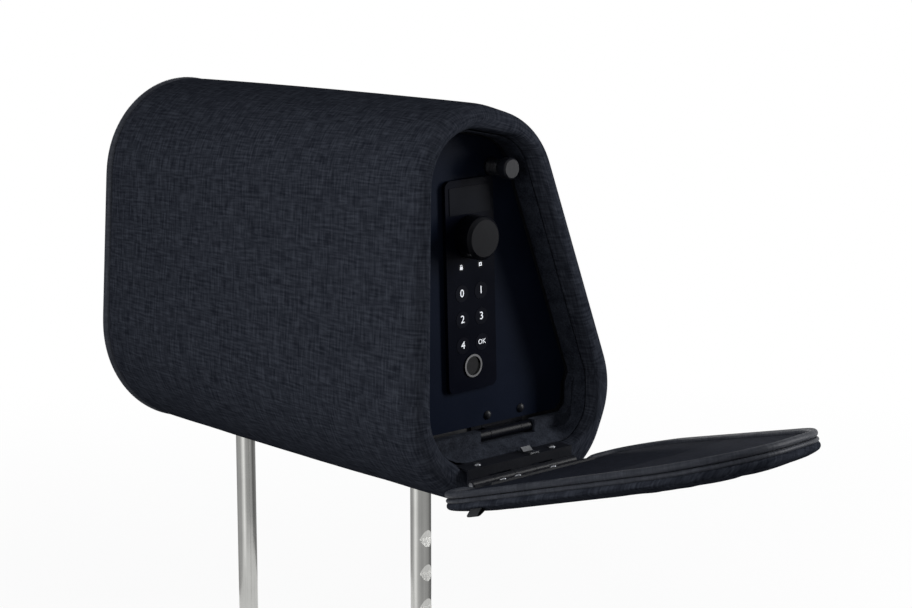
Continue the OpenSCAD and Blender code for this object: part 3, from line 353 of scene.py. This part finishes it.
def build_materials():
    woven("cover_fabric", (0.0075, 0.0088, 0.0132), (0.0380, 0.0425, 0.0550), 0.80, 0.6)
    woven("piping_fabric", (0.012, 0.0135, 0.018), (0.052, 0.056, 0.068), 0.5, 0.5, 0.6, spec=0.05)
    # Felt of the flap: short fibres, speckled.
    m = Made("felt", Specular_IOR_Level=0.03)
    fine = m.noise(m.coords(), 1500.0, 3.0, 0.7)
    clumps = m.noise(m.coords(scale=(1, 1, 1.6)), 260.0, 3.0, 0.6)
    m.set(Base_Color=m.mix(m.ramp(fine * 0.6 + clumps * 0.4, (0.38, 0.0), (0.62, 1.0)),
                           (0.0022, 0.0028, 0.0055), (0.0150, 0.0175, 0.0265)),
          Roughness=0.86 + fine * 0.12)
    m.bump(fine * 0.6 + clumps * 0.4, 0.7, 0.35)
    # Flocked moulding round the door.
    m = Made("trim_moulding", Specular_IOR_Level=0.08)
    grain = m.noise(m.coords(), 1100.0, 2.0, 0.6)
    patch = m.noise(m.coords(), 170.0, 3.0, 0.55)
    m.set(Base_Color=m.mix(m.ramp(grain * 0.55 + patch * 0.45, (0.34, 0.0), (0.66, 1.0)),
                           (0.0032, 0.0043, 0.0082), (0.0270, 0.0315, 0.0430)),
          Roughness=0.78 + grain * 0.15)
    m.bump(grain * 0.7 + patch * 0.3, 0.6, 0.25)
    m = Made("foam", Specular_IOR_Level=0.2)
    cells = m.noise(m.coords(), 900.0, 4.0, 0.7)
    m.set(Base_Color=m.mix(cells, (0.006, 0.0068, 0.0100), (0.016, 0.0175, 0.0225)), Roughness=0.9 + cells * 0.1)
    m.bump(cells, 0.8, 0.5)
    m = Made("webbing", Specular_IOR_Level=0.3)
    ribs = m.noise(m.coords(scale=(1, 14, 1)), 420.0, 2.0, 0.5)
    m.set(Base_Color=m.mix(ribs, (0.004, 0.0045, 0.006), (0.014, 0.015, 0.019)), Roughness=0.7 + ribs * 0.2)
    m.bump(ribs, 0.8, 0.3)
    plastic("hard_board", (0.016, 0.017, 0.019), (0.028, 0.030, 0.034), 0.6, 300, 0.15)
    plastic("seal_rubber", (0.008, 0.008, 0.009), (0.016, 0.016, 0.018), 0.7, 500, 0.1)
    plastic("housing_black", (0.010, 0.011, 0.013), (0.022, 0.024, 0.028), 0.55, 900, 0.12)
    plastic("mat_felt", (0.008, 0.008, 0.009), (0.026, 0.026, 0.029), 0.9, 1300, 0.4)
    plastic("grip_black", (0.0045, 0.0052, 0.0078), (0.0090, 0.0100, 0.0135), 0.36, 700, 0.06, 0.14)
    plastic("board_green", (0.010, 0.085, 0.035), (0.020, 0.150, 0.065), 0.35, 420, 0.08)
    plastic("cell_blue", (0.020, 0.090, 0.300), (0.035, 0.140, 0.420), 0.28, 60, 0.02)
    # Powder-coated steels.
    plastic("door_steel", (0.0026, 0.0048, 0.0120), (0.0052, 0.0082, 0.0180), 0.46, 1300, 0.05, 0.02)
    plastic("box_steel", (0.010, 0.011, 0.014), (0.016, 0.018, 0.022), 0.42, 1300, 0.06, 0.4)
    plastic("bracket_steel", (0.030, 0.032, 0.036), (0.046, 0.048, 0.054), 0.45, 1000, 0.06, 0.4)
    plastic("dark_hinge", (0.0040, 0.0046, 0.0072), (0.0100, 0.0110, 0.0145), 0.42, 800, 0.05, 0.12)
    # Gloss panel, its keys and its label plate.
    plastic("panel_black", (0.0012, 0.0018, 0.0050), (0.0022, 0.0030, 0.0072), 0.24, 90, 0.004, 0.03)
    plastic("key_black", (0.0014, 0.0020, 0.0055), (0.0026, 0.0034, 0.0080), 0.30, 200, 0.006, 0.04)
    plastic("label_black", (0.0026, 0.0033, 0.0062), (0.0042, 0.0052, 0.0090), 0.30, 60, 0.004, 0.03)
    plastic("lamp_lens", (0.0010, 0.0013, 0.0030), (0.0018, 0.0022, 0.0045), 0.25, 200, 0.004, 0.1)
    # Knob: satin with fine turned lines round its axis.
    m = Made("knob_black", Specular_IOR_Level=0.07)
    lines = m.noise(m.coords(scale=(2600, 30, 30)), 1.0, 2.0, 0.5)
    wear = m.noise(m.coords(), 240.0, 3.0, 0.6)
    m.set(Base_Color=m.mix(wear, (0.0016, 0.0018, 0.0034), (0.0036, 0.0040, 0.0062)),
          Roughness=0.26 + lines * 0.12 + wear * 0.06)
    m.bump(lines, 0.25, 0.02)
    metal("nickel", (0.44, 0.44, 0.425), (0.60, 0.60, 0.58), 0.15, (700, 700, 9))
    metal("zinc", (0.16, 0.165, 0.18), (0.26, 0.27, 0.29), 0.34, (240, 240, 240))
    plastic("hinge_steel", (0.0016, 0.0020, 0.0040), (0.0040, 0.0046, 0.0075), 0.38, 900, 0.05, 0.08)
    metal("bar_steel", (0.44, 0.45, 0.47), (0.60, 0.61, 0.63), 0.28, (500, 20, 500))
    metal("spring_steel", (0.30, 0.31, 0.33), (0.42, 0.43, 0.45), 0.22, (400, 30, 400))
    metal("ring_chrome", (0.22, 0.22, 0.23), (0.34, 0.34, 0.35), 0.16, (300, 300, 300))
    metal("coil_brass", (0.42, 0.27, 0.09), (0.68, 0.47, 0.18), 0.32, (40, 40, 3000))
    m = Made("sensor_glass", Specular_IOR_Level=0.35, Coat_Roughness=0.05)
    smudge = m.noise(m.coords(), 600.0, 2.0, 0.6)
    m.set(Base_Color=m.mix(smudge, (0.0015, 0.0018, 0.0030), (0.0030, 0.0034, 0.0050)),
          Roughness=0.10 + smudge * 0.12, Coat_Weight=0.1 + smudge * 0.1)
    m = Made("sign_white", Emission_Strength=0.55)
    print_wear = m.noise(m.coords(), 2600.0, 2.0, 0.6)
    m.set(Base_Color=m.mix(print_wear, (0.58, 0.60, 0.64), (0.78, 0.80, 0.84)),
          Roughness=0.45 + print_wear * 0.1,
          Emission_Color=m.mix(print_wear, (0.60, 0.62, 0.66), (0.80, 0.82, 0.86)))


def plastic(name, dark, light, rough, grain_scale, depth, spec=0.3):
    """Moulded or coated surface: two close tones, a fine grain and a slow smudge."""
    m = Made(name, Specular_IOR_Level=spec)
    grain = m.noise(m.coords(), float(grain_scale), 2.0, 0.6)
    smudge = m.noise(m.coords(), 35.0, 3.0, 0.55)
    m.set(Base_Color=m.mix(m.ramp(grain * 0.5 + smudge * 0.5, (0.35, 0.0), (0.65, 1.0)), dark, light),
          Roughness=rough - 0.05 + smudge * 0.12)
    m.bump(grain, 0.5, depth)


def metal(name, dark, light, rough, stretch):
    """Bare metal with brushing or casting grain stretched along one way, and handling marks."""
    m = Made(name, Metallic=1.0)
    lines = m.noise(m.coords(scale=stretch), 1.0, 3.0, 0.6)
    marks = m.noise(m.coords(), 45.0, 3.0, 0.6)
    m.set(Base_Color=m.mix(m.ramp(lines * 0.6 + marks * 0.4, (0.3, 0.0), (0.7, 1.0)), dark, light),
          Roughness=rough - 0.04 + lines * 0.06 + marks * 0.05)
    m.bump(lines, 0.3, 0.01)


# ---- the sewn pieces ------------------------------------------------------------------------

def crown_at(x):
    return 0.8 * (x / NEAR_X) ** 2


def build_cover():
    x0 = FAR_X + 5.2
    rings = [ring(x0 + 2.0, 6.0, "body"), ring(x0 + 0.1, 4.6, "body"), ring(x0 + 0.1, 3.0, "body"),
             ring(x0 + 0.9, 1.7, "body"), ring(x0 + 2.6, 0.95, "body"), ring(x0 + 6.0, 0.8, "body")]
    xs = np.linspace(x0 + 11, NEAR_X - 13, 58)
    rings += [ring(x, crown_at(x), "body") for x in xs]
    rings += [ring(NEAR_X - dx, i, "body") for dx, i in
              ((9.5, 0.9), (7, 1.3), (5, 2.0), (3.4, 3.0), (2.2, 4.1), (1.2, 5.4), (0.5, 6.9), (0.1, 8.3))]
    lip = ring(NEAR_X, 9.6, "body")
    mouth = ring(NEAR_X, 12.0, RECESS)
    rings += [0.6 * lip + 0.4 * mouth - [0.1, 0, 0]]
    rings += [ring(NEAR_X - dx, i, RECESS) for dx, i in
              ((0.9, 13.0), (2.2, 13.7), (4.5, 14.2), (7.5, 14.5), (12, 14.7), (17, 14.9), (23.4, 15.0))]
    rings += [ring(NEAR_X - 23.5, 12.0, RECESS), ring(NEAR_X - 25, 6.5, "body"), ring(0, 6.5, "body")]
    bm, place = skin(rings, closed=True)
    for v in bm.verts:
        x, y, z = v.co / MM
        wave = noise.noise(Vector((x, y, z)) * 0.021) * 0.5 + noise.noise(Vector((x, y, z)) * 0.055) * 0.18
        outer = 5 < place[v][0] < 64
        if outer:
            # Slow unevenness of foam under fabric, and the pull of the posts on the underside.
            v.co.y += wave * MM * (1 if y > 15 else -1) * 0.6
            if z < 20:
                for side in (-82.75, 82.75):
                    d = math.hypot(x - side, y)
                    v.co.z += 2.6 * math.exp(-(d / 15) ** 2) * MM
        # The steel leaf presses the padding flat at the foot of the lip.
        if x > 134 and -26 < y < 58 and 23.1 < z < 40:
            v.co.z = min(z, 23.2) * MM
    cover = finish_mesh("cover_wrap", bm, "cover_fabric", "body")
    smooth_more(cover)
    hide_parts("cover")


def dome(x0, height, circles, mid, insets, way):
    """Rings of a stuffed cushion that rises from its seam at x0, by height, along way."""
    reach = 62.0
    rings = [ring(x0 + way * height * math.sin(math.pi / 2 * (i - insets[0]) / reach) ** 0.8,
                  i, circles, 1.0, mid) for i in insets]
    last = insets[-1]
    for k in range(1, 15):
        s = 1 - k / 14.5
        depth = last + (1 - s) * (reach - last)
        x = x0 + way * height * math.sin(math.pi / 2 * min(1, (depth - insets[0]) / reach)) ** 0.8
        rings.append(ring(x, last, circles, s, mid))
    return rings


def build_end():
    rings = [ring(-140.0, 7.0, "body"), ring(-140.6, 5.2, "body")]
    rings += dome(-141.8, 7.2, "body", MID, [4.2, 5.4, 7, 9.5, 13, 18, 24, 31], -1)
    bm, place = skin(rings, cap=True, planar=True)
    bm.verts.ensure_lookup_table()
    bm.verts.index_update()
    pins = {v.index: place[v][0] < 4 for v in bm.verts}
    pad = finish_mesh("end_pad", bm, "cover_fabric", "body")
    inflate(pad, [pins[i] for i in range(len(pins))], 1.4)
    smooth_more(pad)
    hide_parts("end_cushion")
    bm, _ = skin(tube(FAR_X + 2.6, 2.8, 2.6, "body"), closed=True)
    cord = finish_mesh("end_welt", bm, "piping_fabric", "body")
    smooth_more(cord)
    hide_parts("end_piping")


def tuck_under_leaf(obj):
    """The seam is pressed flat where the steel leaf is riveted over it."""
    low = min(v.co.z for v in obj.data.vertices)
    for v in obj.data.vertices:
        y = v.co.y / MM
        side = min(1.0, max(0.0, (y + 30) / 4), max(0.0, (62 - y) / 4))
        if v.co.z < low + 9 * MM and side > 0:
            v.co.x += side * 0.85 * (max(v.co.x, (BOARD_X + 0.9) * MM) - v.co.x)
            v.co.z += side * 1.2 * MM


def build_flap():
    rings = [ring(BOARD_X + 2.2, 9.0, FLAP, 1, FLAP_MID)]
    rings += [ring(BOARD_X + x, i, FLAP, 1, FLAP_MID) for x, i in
              ((2.2, 5.0), (2.0, 3.2), (2.3, 1.8), (3.2, 0.8), (4.4, 0.5), (5.7, 0.8), (6.9, 1.8), (7.9, 3.4))]
    rings += dome(BOARD_X + 8.5, 2.1, FLAP, FLAP_MID, [5.0, 7.0, 10.0, 13.5], 1)
    bm, place = skin(rings, cap=True, planar=True)
    bm.verts.ensure_lookup_table()
    bm.verts.index_update()
    pins = {v.index: place[v][0] < 7 for v in bm.verts}
    pad = finish_mesh("flap_pad", bm, "cover_fabric", "flap")
    inflate(pad, [pins[i] for i in range(len(pins))], 1.2)
    smooth_more(swing_open(pad))
    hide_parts("flap_cushion")
    bm, _ = skin(tube(BOARD_X - 1.7, 2.7, 2.0, FLAP, 14), closed=True)
    bead = finish_mesh("flap_welt", bm, "piping_fabric", "flap")
    tuck_under_leaf(bead)
    smooth_more(swing_open(bead))
    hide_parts("flap_bead")
    bm, _ = skin(tube(BOARD_X + 1.5, 2.0, 1.3, FLAP, 10), closed=True)
    cord = finish_mesh("flap_cord", bm, "piping_fabric", "flap")
    tuck_under_leaf(cord)
    smooth_more(swing_open(cord))
    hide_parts("flap_piping")
    # Felt lining, tucked under the bead all round.
    x = FLAP_X + 1.25
    rings = [ring(x + 1.3, 4.0, FLAP, 1, FLAP_MID), ring(x + 0.9, 3.6, FLAP, 1, FLAP_MID),
             ring(x + 0.3, 4.6, FLAP, 1, FLAP_MID), ring(x, 7.0, FLAP, 1, FLAP_MID),
             ring(x, 10.0, FLAP, 1, FLAP_MID)]
    rings += [ring(x, 12.0, FLAP, 1 - k / 12.5, FLAP_MID) for k in range(0, 12)]
    bm, _ = skin(rings, cap=True, planar=True)
    felt = swing_open(finish_mesh("flap_felt", bm, "felt", "flap"))
    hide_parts("flap_lining")


def build_tab():
    """Folded webbing: a strip bent back on itself, its ends caught in the seam."""
    bm = bmesh.new()
    path = [(-2.0, 6.0), (0.6, 1.4), (2.4, -0.9), (3.1, -1.5), (3.7, -1.0), (2.6, 1.6), (0.2, 6.2)]
    at = Vector((BOARD_X + 6.0, -64.4, 56.4))
    verts = bmesh.ops.create_vert(bm, co=(at + Vector((path[0][0], path[0][1], 0))) * MM)["vert"]
    prev = verts[0]
    for dx, dy in path[1:]:
        made = bmesh.ops.extrude_vert_indiv(bm, verts=[prev])
        prev = made["verts"][0]
        prev.co = (at + Vector((dx, dy, 0))) * MM
    edges = list(bm.edges)
    for _ in range(3):
        made = bmesh.ops.extrude_edge_only(bm, edges=edges)["geom"]
        fresh = [g for g in made if isinstance(g, bmesh.types.BMVert)]
        bmesh.ops.translate(bm, verts=fresh, vec=(0, 0, 3 * MM))
        keep = set(fresh)
        edges = [g for g in made if isinstance(g, bmesh.types.BMEdge) and all(v in keep for v in g.verts)]
    bmesh.ops.solidify(bm, geom=list(bm.faces), thickness=0.45 * MM)
    layer = bm.loops.layers.uv.new("UVMap")
    for f in bm.faces:
        for l in f.loops:
            l[layer].uv = (l.vert.co.y, l.vert.co.z)
    tab = swing_open(finish_mesh("flap_tab_strip", bm, "webbing", "flap"))
    smooth_more(tab)
    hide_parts("flap_pull_tab")


# ---- figures and signs ----------------------------------------------------------------------

def panel_point(u, v):
    c, s = math.cos(PANEL_LEAN), math.sin(PANEL_LEAN)
    return PANEL_AT[0] + u * c - v * s, PANEL_AT[1] + u * s + v * c


def on_panel(mesh, u, v, x):
    """Stands a flat drawing, made in X and Y in millimetres, on the panel's face."""
    y, z = panel_point(u, v)
    stand = Matrix(((0, 0, 1, 0), (1, 0, 0, 0), (0, 1, 0, 0), (0, 0, 0, 1)))
    lean = Matrix.Rotation(PANEL_LEAN, 4, "X")
    mesh.transform(Matrix.Translation(Vector((x, y, z)) * MM) @ lean @ stand @ Matrix.Scale(MM, 4))


def figure(text, name, size, u, v, body):
    curve = bpy.data.curves.new(name, "FONT")
    curve.body, curve.size, curve.extrude = text, size, 0.04
    curve.align_x, curve.align_y = "CENTER", "CENTER"
    curve.resolution_u = 4
    made = bpy.data.objects.new(name, curve)
    scene.collection.objects.link(made)
    bpy.context.view_layer.update()
    mesh = bpy.data.meshes.new_from_object(made.evaluated_get(bpy.context.evaluated_depsgraph_get()))
    bpy.data.objects.remove(made)
    bpy.data.curves.remove(curve)
    on_panel(mesh, u, v, PANEL_FRONT + 0.19)
    mesh.materials.clear()
    obj = bpy.data.objects.new(name, mesh)
    scene.collection.objects.link(obj)
    obj.data.materials.append(MATERIALS["sign_white"])
    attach(obj, body)


def sign(name, pieces, u, v):
    """A small lit sign made of flat bars, each (x0, y0, x1, y1)."""
    bm = bmesh.new()
    for x0, y0, x1, y1 in pieces:
        made = bmesh.ops.create_grid(bm, x_segments=1, y_segments=1, size=0.5)["verts"]
        bmesh.ops.scale(bm, verts=made, vec=(x1 - x0, y1 - y0, 1))
        bmesh.ops.translate(bm, verts=made, vec=((x0 + x1) / 2, (y0 + y1) / 2, 0))
    bmesh.ops.solidify(bm, geom=list(bm.faces), thickness=0.06)
    mesh = bpy.data.meshes.new(name)
    bmesh.ops.recalc_face_normals(bm, faces=bm.faces)
    bm.to_mesh(mesh)
    bm.free()
    on_panel(mesh, u, v, PANEL_FRONT + 0.05)
    obj = bpy.data.objects.new(name, mesh)
    scene.collection.objects.link(obj)
    obj.data.materials.append(MATERIALS["sign_white"])
    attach(obj, "door")


def build_figures():
    for k, text in enumerate(["0", "1", "2", "3", "4", "OK"]):
        u, v = (k % 2 * 2 - 1) * 7.1, -3.7 - (k // 2) * 14.5
        name = "ok" if text == "OK" else text
        figure(text, "figure_" + name, 3.9 if text == "OK" else 6.1, u, v, "key_%s_body" % name)
    sign("sign_lock", [(-1.0, -1.3, 1.0, 0.4), (-0.75, 0.4, -0.4, 1.2), (0.4, 0.4, 0.75, 1.2),
                       (-0.75, 1.0, 0.75, 1.35)], -7.1, 10.8)
    sign("sign_square", [(-1.0, -1.0, -0.45, 1.0), (0.45, -1.0, 1.0, 1.0), (-0.5, 0.45, 0.5, 1.0),
                         (-0.5, -1.0, 0.5, -0.45)], 7.1, 10.8)


# ---- CAD pieces that stay -------------------------------------------------------------------

def dress_cad():
    slots = {s["node"]: s["material_slot"] for s in frame["record"]["subparts"]}
    soften = {"recess_trim": 0.5, "door_plate": 0.35, "lock_faceplate": 0.25, "flap_board": 0.6,
              "post_bracket": 0.5, "lock_housing": 0.5, "flap_hinge_leaf": 0.25, "knob": 0.2,
              "flap_hinge_body_leaf": 0.25, "label_plate": 0.1, "door_frame": 0.3}
    for name, obj in nodes.items():
        slot = slots[name]
        obj.data.materials.clear()
        obj.data.materials.append(MATERIALS[slot])
        if name in soften:
            modifier(obj, "BEVEL", width=soften[name] * MM, segments=2, limit_method="ANGLE",
                     angle_limit=math.radians(40), harden_normals=False)


# ---- light, floor and camera ----------------------------------------------------------------

def look(obj, target):
    d = Vector(target) - obj.location
    obj.rotation_euler = d.to_track_quat("-Z", "Y").to_euler()


def light(name, azimuth, elevation, distance, size, energy, target=(0.03, 0, 0.11), tint=(1, 1, 1)):
    """A soft lamp; azimuth 0 is the head side, 90 is the lock end."""
    data = bpy.data.lights.new(name, "AREA")
    data.shape, data.size, data.size_y = "RECTANGLE", size[0], size[1]
    data.energy, data.color = energy, tint
    obj = bpy.data.objects.new(name, data)
    a, e = math.radians(azimuth), math.radians(elevation)
    obj.location = Vector(target) + distance * Vector((math.sin(a) * math.cos(e),
                                                       -math.cos(a) * math.cos(e), math.sin(e)))
    obj.visible_camera = False
    scene.collection.objects.link(obj)
    look(obj, target)
    return obj


def build_surround():
    """A low ring of grey and white cards that only reflections see: it gives the posts their bands."""
    bm = bmesh.new()
    low, high, count = cad_bounds[0][2], 0.26, 96
    wall = []
    for k in range(count):
        a = 2 * math.pi * k / count
        wall.append([bm.verts.new((0.26 * math.cos(a), 0.26 * math.sin(a), z)) for z in (low, high)])
    for k in range(count):
        a, b = wall[k], wall[(k + 1) % count]
        bm.faces.new((a[0], b[0], b[1], a[1]))
    mesh = bpy.data.meshes.new("surround")
    bm.to_mesh(mesh)
    bm.free()
    obj = bpy.data.objects.new("surround", mesh)
    scene.collection.objects.link(obj)
    m = Made("surround_cards", Specular_IOR_Level=0.0, Emission_Strength=1.4)
    turn = m.add("ShaderNodeTexGradient", {"gradient_type": "RADIAL"}, {"Vector": m.coords()})
    m.set(Base_Color=(0, 0, 0, 1),
          Emission_Color=m.ramp(turn, (0.0, 0.3), (0.16, 0.4), (0.27, 1.0), (0.37, 0.35),
                                (0.55, 0.35), (0.68, 0.1), (0.85, 0.25)))
    mesh.materials.append(m.mat)
    obj.visible_camera = obj.visible_diffuse = obj.visible_shadow = False


def build_stage():
    world = bpy.data.worlds.new("studio")
    scene.world = world
    world.use_nodes = True
    tree = world.node_tree
    back = tree.nodes["Background"]
    path = tree.nodes.new("ShaderNodeLightPath")
    mix = tree.nodes.new("ShaderNodeMix")
    mix.data_type = "RGBA"
    mix.inputs[6].default_value = (0.10, 0.104, 0.112, 1)
    mix.inputs[7].default_value = (1, 1, 1, 1)
    add = tree.nodes.new("ShaderNodeMath")
    add.operation, add.use_clamp = "ADD", True
    more = tree.nodes.new("ShaderNodeMath")
    more.operation, more.use_clamp = "ADD", True
    tree.links.new(path.outputs["Is Camera Ray"], add.inputs[0])
    tree.links.new(path.outputs["Is Glossy Ray"], add.inputs[1])
    tree.links.new(add.outputs[0], more.inputs[0])
    tree.links.new(path.outputs["Is Transmission Ray"], more.inputs[1])
    tree.links.new(more.outputs[0], mix.inputs[0])
    tree.links.new(mix.outputs[2], back.inputs["Color"])
    bm = bmesh.new()
    bmesh.ops.create_grid(bm, x_segments=1, y_segments=1, size=15)
    mesh = bpy.data.meshes.new("floor")
    bm.to_mesh(mesh)
    bm.free()
    mesh.transform(Matrix.Translation((0, 0, cad_bounds[0][2] - 0.0005)))
    floor = bpy.data.objects.new("floor", mesh)
    scene.collection.objects.link(floor)
    m = Made("floor_paper", Specular_IOR_Level=0.0, Roughness=1.0)
    mottle = m.noise(m.coords(), 3.0)
    seen = m.add("ShaderNodeLightPath", {}, {}, "Is Camera Ray")
    away = m.ramp(m.add("ShaderNodeVectorMath", {"operation": "LENGTH"}, {"Vector": m.coords()}, "Value"),
                  (0.35, 0.88), (1.0, 1.0))
    m.set(Base_Color=m.mix(seen, m.mix(mottle, (0.36, 0.36, 0.36), (0.40, 0.40, 0.40)), (0.95, 0.95, 0.95)))
    glow = m.tree.nodes.new("ShaderNodeEmission")
    both = m.tree.nodes.new("ShaderNodeMixShader")
    shown = (seen + m.add("ShaderNodeLightPath", {}, {}, "Is Glossy Ray")
             + m.add("ShaderNodeLightPath", {}, {}, "Is Transmission Ray"))
    m.put(both.inputs["Fac"], shown * away)
    m.tree.links.new(m.shader.outputs[0], both.inputs[1])
    m.tree.links.new(glow.outputs[0], both.inputs[2])
    m.tree.links.new(both.outputs[0], m.tree.nodes["Material Output"].inputs["Surface"])
    mesh.materials.append(m.mat)
    light("key", 4, 14, 0.85, (0.5, 0.5), 5.2, (0.13, 0, 0.13))
    light("top", 15, 60, 1.6, (1.2, 1.2), 2.5)
    light("rim", 146, 14, 1.4, (0.25, 0.9), 22, (0.14, 0.03, 0.11))
    light("mouth", 62, 30, 1.6, (0.9, 0.9), 1.6, (0.13, 0.02, 0.10))
    light("edge", -118, 10, 1.6, (0.25, 1.1), 10)
    build_surround()
    data = bpy.data.cameras.new("camera")
    data.sensor_width, data.lens = 36.0, 80.96
    data.clip_start = 0.05
    cam = bpy.data.objects.new("camera", data)
    cam.location = (0.9288, -0.7559, 0.3134)
    a, p = math.radians(47.2), math.radians(10.47)
    cam.rotation_euler = Vector((-math.sin(a) * math.cos(p), math.cos(a) * math.cos(p),
                                 -math.sin(p))).to_track_quat("-Z", "Y").to_euler()
    scene.collection.objects.link(cam)
    scene.camera = cam
    scene.view_settings.view_transform = "Standard"


build_materials()
build_cover()
build_end()
build_flap()
build_tab()
build_figures()
dress_cad()
build_stage()
